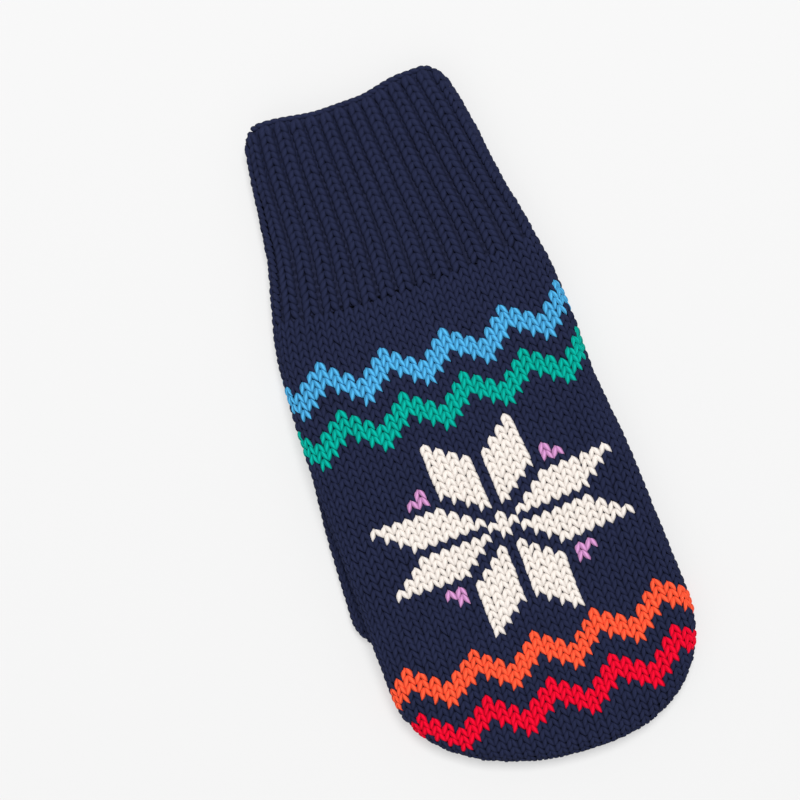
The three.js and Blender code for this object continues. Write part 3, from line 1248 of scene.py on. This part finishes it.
@dataclass
class RibbedCuff:
    """The cuff: fifteen ribs a face, of plain stitches with purl stitches between."""

    surface: HandSurface
    dresser: Dresser
    ribs: int = 15
    first_row: int = -57
    first_row_in: float = 1.7
    last_row: int = -32
    pattern: Pattern = field(default_factory=Pattern)
    stitch: StitchShape = field(default_factory=StitchShape)
    rib_share: float = 0.8
    middle_pitch: float = 0.93
    rib_round: float = 0.5
    rib_leaf: LeafShape = field(default_factory=lambda: LeafShape(radius=1.3, flatness=0.75))
    valley_depth: float = 2.6
    purl_radius: float = 0.9
    purl_width: float = 3.4
    purl_below: float = 1.5
    purl_arch: float = 0.9
    edge_strokes: int = 30
    edge_width: float = 5.2
    edge_in: float = 1.1
    edge_slant: float = 1.3
    edge_wave: float = 0.4
    edge_sunk: float = 1.7
    edge_bend: float = 3.0
    edge_leaf: LeafShape = field(default_factory=lambda: LeafShape(radius=1.08, flatness=0.9))
    inner_rows: int = 8
    inner_lift: float = 2.1

    def rib_x(self, rib: Array, y: Array, face: Face) -> Array:
        """Where a rib runs.

        Args:
            rib: ribs from the middle one.
            y: places along the cuff.
            face: the back or the palm, whose ribs drift the other way.

        Returns:
            The unrolled x.
        """
        s = SIZES
        left, right = mitten_sides(y)
        reach = (right - left) / 2 + (math.pi / 2 - 1) * s.edge_round
        down = (s.wrist_y - y) / (s.wrist_y - s.cuff_joint_y)
        place = rib + face.value * RIB_DRIFT.at(down)
        half = self.ribs / 2
        straight = self.middle_pitch * reach / half
        widening = (1 - self.middle_pitch) * reach / half**3
        return (left + right) / 2 + straight * place + widening * place**3

    def grid(self, face: Face, half_step: float) -> tuple[Array, Array, Array]:
        """The ribs, or the valleys between them, of one face.

        Args:
            face: the back or the palm.
            half_step: 0 for the ribs and 0.5 for the valleys.

        Returns:
            The rib, the row and the starting y of each stitch.
        """
        half = self.ribs // 2
        ribs = np.arange(-half, half + 1) + half_step
        rows = np.arange(self.first_row, self.last_row + 1)
        rib, row = np.meshgrid(ribs, rows, indexing="ij")
        rib, row = rib.ravel(), row.ravel()
        s = SIZES
        y = np.minimum(self.pattern.row_y(row), s.wrist_y - self.first_row_in)
        low = s.cuff_joint_y
        bow = self.pattern.bowed(rib * 2.0, y) * smooth(s.wrist_y - y, 0, s.wrist_y - low)
        x = self.rib_x(rib, y, face)
        return rib, row, y + bow - edge_drop(x) * smooth(y, low, s.wrist_y)

    def build(self) -> None:
        """Knits the ribs of both faces, and the purl stitches in the valleys."""
        across, down, lift = self.stitch.lines()
        for seed, face in enumerate(Face):
            rib, _, start_y = self.grid(face, 0.0)
            draws = Unevenness(seed + 31).draw(2 * len(rib))
            xs, ys = [], []
            for side in (-1, 1):
                y = start_y[:, None] - down[None]
                spread = side * across[None] * self.rib_share
                xs.append(self.rib_x(rib[:, None] + spread, y, face))
                ys.append(y)
            x = np.concatenate(xs) + draws["across"][:, None]
            y = np.concatenate(ys) + draws["along"][:, None]
            sunk = self.rib_round * (across * 2) ** 2
            lifts = (lift - sunk)[None] + draws["rise"][:, None] + np.zeros_like(x)
            legs = LegBatch(x, y, lifts, np.tile(start_y, 2), draws["size"], face)
            name = f"cuff_ribs_{face.name.lower()}"
            piece = add_legs(name, [legs], self.surface, self.rib_leaf)
            self.dresser.dress(piece, Yarn.NAVY, "ribbed_cuff")
        self.build_valleys()
        self.build_edge()
        self.build_inside()

    def build_edge(self) -> None:
        """Lays the slanted strokes of yarn that the first row was cast on with."""
        s = SIZES
        batches = []
        t = self.edge_leaf.shares
        for face in Face:
            step = self.ribs / self.edge_strokes
            rib = (np.arange(self.edge_strokes) + 0.5) * step - self.ribs / 2
            top = np.full(len(rib), s.wrist_y)
            middle = self.rib_x(rib, top, face)
            lean = face.value * (t - 0.5)
            x = middle[:, None] + self.edge_width * (t - 0.5)[None]
            valley = self.edge_wave - self.edge_wave * np.cos(2 * math.pi * rib)
            ends = (top - edge_drop(middle) - valley)[:, None]
            y = ends - self.edge_in - self.edge_slant * lean[None]
            lifts = -self.edge_sunk - self.edge_bend * (t - 0.5)[None] ** 2 + np.zeros_like(x)
            batches.append(LegBatch(x, y, lifts, top, np.ones(len(rib)), face))
        piece = add_legs("wrist_edge", batches, self.surface, self.edge_leaf)
        self.dresser.dress(piece, Yarn.NAVY, "ribbed_cuff")

    def build_inside(self) -> None:
        """Knits the inner side of the ribs, as far down as the mouth shows them."""
        across, down, lift = self.stitch.lines()
        batches = []
        for face in Face:
            rib, row, start_y = self.grid(face, 0.5)
            keep = row < self.first_row + self.inner_rows
            rib, start_y = rib[keep], start_y[keep]
            xs, ys = [], []
            for side in (-1, 1):
                y = start_y[:, None] - down[None]
                spread = side * across[None] * self.rib_share
                xs.append(self.rib_x(rib[:, None] + spread, y, face))
                ys.append(y)
            x, y = np.concatenate(xs), np.concatenate(ys)
            lifts = -(lift + self.stitch.sunk + self.inner_lift)[None] + np.zeros_like(x)
            size = np.ones(len(x))
            batches.append(LegBatch(x, y, lifts, np.tile(start_y, 2), size, face))
        piece = add_legs("cuff_inside", batches, self.surface, self.stitch.leaf)
        self.dresser.dress(piece, Yarn.NAVY, "ribbed_cuff")

    def build_valleys(self) -> None:
        """Knits the purl bars that lie deep between the ribs."""
        leaf = LeafShape(rings=(0.12, 0.4, 0.6, 0.88), sides=5, radius=self.purl_radius)
        batches = []
        for face in Face:
            rib, _, start_y = self.grid(face, 0.5)
            t = leaf.shares
            x = self.rib_x(rib[:, None], start_y[:, None], face) + self.purl_width * (t - 0.5)[None]
            arch = self.purl_arch * (1 - (2 * t - 1) ** 2)[None]
            y = start_y[:, None] - self.purl_below + arch
            lifts = -self.valley_depth + np.zeros_like(x)
            size = np.ones(len(rib))
            batches.append(LegBatch(x, y, lifts, start_y, size, face))
        piece = add_legs("cuff_valleys", batches, self.surface, leaf)
        self.dresser.dress(piece, Yarn.NAVY, "ribbed_cuff")


@dataclass
class Thumb:
    """The thumb, a plain navy tube that is folded flat under the palm."""

    surface: ThumbSurface
    dresser: Dresser
    columns: int = 12
    rows: int = 26
    row_height: float = 3.0
    root_gap: float = 0.4
    stitch: StitchShape = field(default_factory=StitchShape)

    def column_x(self, place: Array, y: Array) -> tuple[Array, Array]:
        """Where a column runs on the thumb.

        Args:
            place: columns from the thumb's middle line.
            y: places along the thumb.

        Returns:
            The unrolled x, and the width of a column.
        """
        s = SIZES
        left, right = thumb_sides(np.maximum(y, s.thumb_tip_y + s.thumb_tip_length))
        pitch = ((right - left) + 2 * self.surface.overhang) / self.columns
        return (left + right) / 2 + place * pitch, pitch

    def build(self) -> None:
        """Knits both faces of the thumb."""
        s = SIZES
        across, down, lift = self.stitch.lines()
        batches = []
        for seed, face in enumerate(Face):
            places = np.arange(self.columns) - (self.columns - 1) / 2
            place, row = np.meshgrid(places, np.arange(self.rows), indexing="ij")
            place, row = place.ravel(), row.ravel()
            start_y = s.thumb_root_y - self.root_gap - row * self.row_height
            x, _ = self.column_x(place, start_y)
            wrapped = self.surface.wrapped(x, start_y - self.stitch.length / 2)
            tip_start = s.thumb_tip_y + s.thumb_tip_length
            keep = (start_y > tip_start) | (wrapped > 0.2)
            place, start_y = place[keep], start_y[keep]
            draws = Unevenness(seed + 51).draw(2 * len(place))
            xs, ys = [], []
            for side in (-1, 1):
                y = start_y[:, None] - down[None]
                x, pitch = self.column_x(place[:, None], y)
                xs.append(x + side * across[None] * pitch)
                ys.append(y)
            x = np.concatenate(xs) + draws["across"][:, None]
            y = np.concatenate(ys) + draws["along"][:, None]
            lifts = lift[None] + draws["rise"][:, None] + np.zeros_like(x)
            batches.append(LegBatch(x, y, lifts, np.tile(start_y, 2), draws["size"], face))
        piece = add_legs("thumb_stitches", batches, self.surface, self.stitch.leaf)
        self.dresser.dress(piece, Yarn.NAVY, "thumb")


@dataclass
class Lining:
    """The inner sides of the fabric: closed walls under the stitches of each tube."""

    hand_surface: HandSurface
    thumb_surface: ThumbSurface
    dresser: Dresser
    outer: float = 2.1
    inner: float = 3.2
    thumb_inner: float = 2.8
    mouth_in: float = 2.5
    joint_gap: float = 0.2
    thumb_gap: float = 0.3
    hand_tip_in: float = 3.6
    thumb_tip_in: float = 3.4
    around: int = 56

    def ring(self, surface: TubeSurface, left: Array, right: Array, y: Array, inset: float) -> Array:
        """Rings round a flat tube, one for each place along it.

        Args:
            surface: the tube.
            left: its left edge at each place.
            right: its right edge.
            y: the places.
            inset: how far inside the surface the rings lie.

        Returns:
            Points by ring and place round it.
        """
        turn = np.linspace(0, math.pi, self.around // 2 + 1)
        across = -np.cos(turn)
        middle, half = (left + right) / 2, (right - left) / 2 - inset
        x = middle[:, None] + half[:, None] * across[None]
        along = np.broadcast_to(y[:, None], x.shape)
        depth = surface.field.read(surface.field.distance, x, along)
        edge, back, palm = surface.heights(x, along, depth, along)
        rounding = surface.rounding - inset
        share = np.clip((depth - inset) / rounding, 0, 1)
        rise = np.sqrt(1 - (1 - share) ** 2)
        over = edge + (back - inset - edge) * rise
        under = edge - (edge - palm - inset) * rise
        top = np.stack([x, along, over], axis=-1)
        bottom = np.stack([x, along, under], axis=-1)[:, -2:0:-1]
        return np.concatenate([top, bottom], axis=1)

    def wall(self, name: str, surface: TubeSurface, rings: Sequence[Array], node: str) -> bpy.types.Object:
        """A closed wall between two sets of rings, capped at the tip.

        Args:
            name: the piece's name.
            surface: the tube; not used.
            rings: the outer and the inner rings.
            node: the solid that it stands for.

        Returns:
            The piece.
        """
        outer, inner = rings
        count, around = outer.shape[0], outer.shape[1]
        points = np.concatenate([outer.reshape(-1, 3), inner.reshape(-1, 3)])
        k = np.arange(around)
        after = (k + 1) % around
        quads = []
        for i in range(count - 1):
            low, high = i * around, (i + 1) * around
            quads.append(np.stack([low + k, low + after, high + after, high + k], axis=1))
            low, high = low + count * around, high + count * around
            quads.append(np.stack([low + k, high + k, high + after, low + after], axis=1))
        base = count * around
        for i, flip in ((0, False), (count - 1, True)):
            low = i * around
            rim = np.stack([low + k, base + low + k, base + low + after, low + after], axis=1)
            quads.append(rim[:, ::-1] if flip else rim)
        piece = add_mesh(name, points, [np.concatenate(quads)])
        return self.dresser.dress(piece, Yarn.NAVY, node, lining=True)

    def build(self) -> None:
        """Makes the walls of the cuff, the hand and the thumb."""
        s = SIZES
        cuff_y = np.linspace(s.wrist_y - self.mouth_in, s.cuff_joint_y + self.joint_gap, 24)
        slit = s.thumb_root_y
        quarter = math.pi / 2
        hand_y = np.concatenate(
            [
                np.linspace(s.cuff_joint_y - self.joint_gap, slit + s.slit_end_slope + 0.5, 12),
                np.linspace(slit + s.slit_end_slope, slit + s.slit_step, 8),
                np.linspace(slit, s.tip_start_y, 24),
                s.tip_start_y
                - (s.tip_length - self.hand_tip_in) * np.sin(np.linspace(0, quarter, 14)[1:]),
            ]
        )
        for name, y, node in (("cuff_fabric", cuff_y, "ribbed_cuff"), ("hand_fabric", hand_y, "hand")):
            left, right = mitten_sides(y)
            rings = [self.ring(self.hand_surface, left, right, y, i) for i in (self.outer, self.inner)]
            for ring in rings:
                low = s.cuff_joint_y
                ring[..., 1] -= edge_drop(ring[..., 0]) * smooth(ring[..., 1], low, s.wrist_y)
            self.wall(name, self.hand_surface, rings, node)
        tip_start = s.thumb_tip_y + s.thumb_tip_length
        thumb_y = np.concatenate(
            [
                np.linspace(slit - self.thumb_gap, tip_start, 20),
                tip_start
                - (s.thumb_tip_length - self.thumb_tip_in) * np.sin(np.linspace(0, quarter, 10)[1:]),
            ]
        )
        left, right = thumb_sides(thumb_y)
        insets = (self.outer, self.thumb_inner)
        rings = [self.ring(self.thumb_surface, left, right, thumb_y, i) for i in insets]
        self.wall("thumb_fabric", self.thumb_surface, rings, "thumb")


@dataclass
class Studio:
    """A pale table under soft light, seen from straight above."""

    camera_x: float = -16.47
    camera_y: float = 15.56
    camera_turn: float = -19.5
    seen_width: float = 297.1
    seen_height: float = 10.0
    lens: float = 100.0
    sensor: float = 36.0
    table_side: float = 12.0
    table_shade: float = 0.298
    table_grain: float = 0.004
    table_glow: float = 0.5
    room_light: float = 0.39
    key_place: tuple[float, float, float] = (0.35, 0.8, 2.7)
    key_size: float = 0.9
    key_power: float = 80
    fill_place: tuple[float, float, float] = (-1.2, -0.6, 2.0)
    fill_size: float = 2.2
    fill_power: float = 10

    def build(self) -> None:
        """Adds the table, the lights and the camera."""
        scene = bpy.context.scene
        scene.view_settings.view_transform = "Standard"
        half = self.table_side / 2 / MM
        corners = np.array([(-half, -half, 0), (half, -half, 0), (half, half, 0), (-half, half, 0)])
        table = add_mesh("table", corners, [np.array([[0, 1, 2, 3]])])
        paint = bpy.data.materials.new("pale table")
        work = NodeWork(paint)
        grain = work.add("ShaderNodeTexNoise", {"Scale": 3.0}).outputs["Fac"]
        shade = work.math("MULTIPLY_ADD", grain, self.table_grain, self.table_shade)
        surface = work.add(
            "ShaderNodeBsdfPrincipled",
            {
                "Base Color": shade,
                "Roughness": 0.9,
                "Specular IOR Level": 0.1,
                "Emission Color": (1, 1, 1, 1),
                "Emission Strength": self.table_glow,
            },
        ).outputs[0]
        work.add("ShaderNodeOutputMaterial", {"Surface": surface})
        table.data.materials.append(paint)
        self.light("soft key", self.key_place, self.key_size, self.key_power)
        self.light("soft fill", self.fill_place, self.fill_size, self.fill_power)
        world = bpy.data.worlds.new("room")
        scene.world = world
        world.use_nodes = True
        background = world.node_tree.nodes["Background"]
        background.inputs[0].default_value = (1, 1, 1, 1)
        background.inputs[1].default_value = self.room_light
        camera = bpy.data.cameras.new("camera")
        camera.lens, camera.sensor_width = self.lens, self.sensor
        holder = bpy.data.objects.new("camera", camera)
        scene.collection.objects.link(holder)
        away = self.seen_width * self.lens / self.sensor + self.seen_height
        holder.location = (self.camera_x * MM, self.camera_y * MM, away * MM)
        holder.rotation_euler = (0, 0, math.radians(self.camera_turn))
        scene.camera = holder

    def light(self, name: str, place: tuple[float, float, float], size: float, power: float) -> None:
        """Adds a soft square light that faces the mitten.

        Args:
            name: its name.
            place: where it hangs, in metres.
            size: its side in metres.
            power: its power in watts.
        """
        lamp = bpy.data.lights.new(name, "AREA")
        lamp.size, lamp.energy = size, power
        holder = bpy.data.objects.new(name, lamp)
        bpy.context.scene.collection.objects.link(holder)
        holder.location = place
        towards = holder.location.copy()
        holder.rotation_euler = towards.to_track_quat("Z", "Y").to_euler()


def main() -> None:
    """Builds the mitten and the studio."""
    logging.basicConfig(level=logging.INFO, format="%(message)s")
    dresser = Dresser()
    hand_surface = HandSurface(thumb_plan_field())
    thumb_surface = ThumbSurface()
    Lining(hand_surface, thumb_surface, dresser).build()
    RibbedCuff(hand_surface, dresser).build()
    Hand(hand_surface, dresser).build()
    Thumb(thumb_surface, dresser).build()
    Studio().build()
    log.info("%d pieces", dresser.count)


if __name__ == "__main__":
    main()
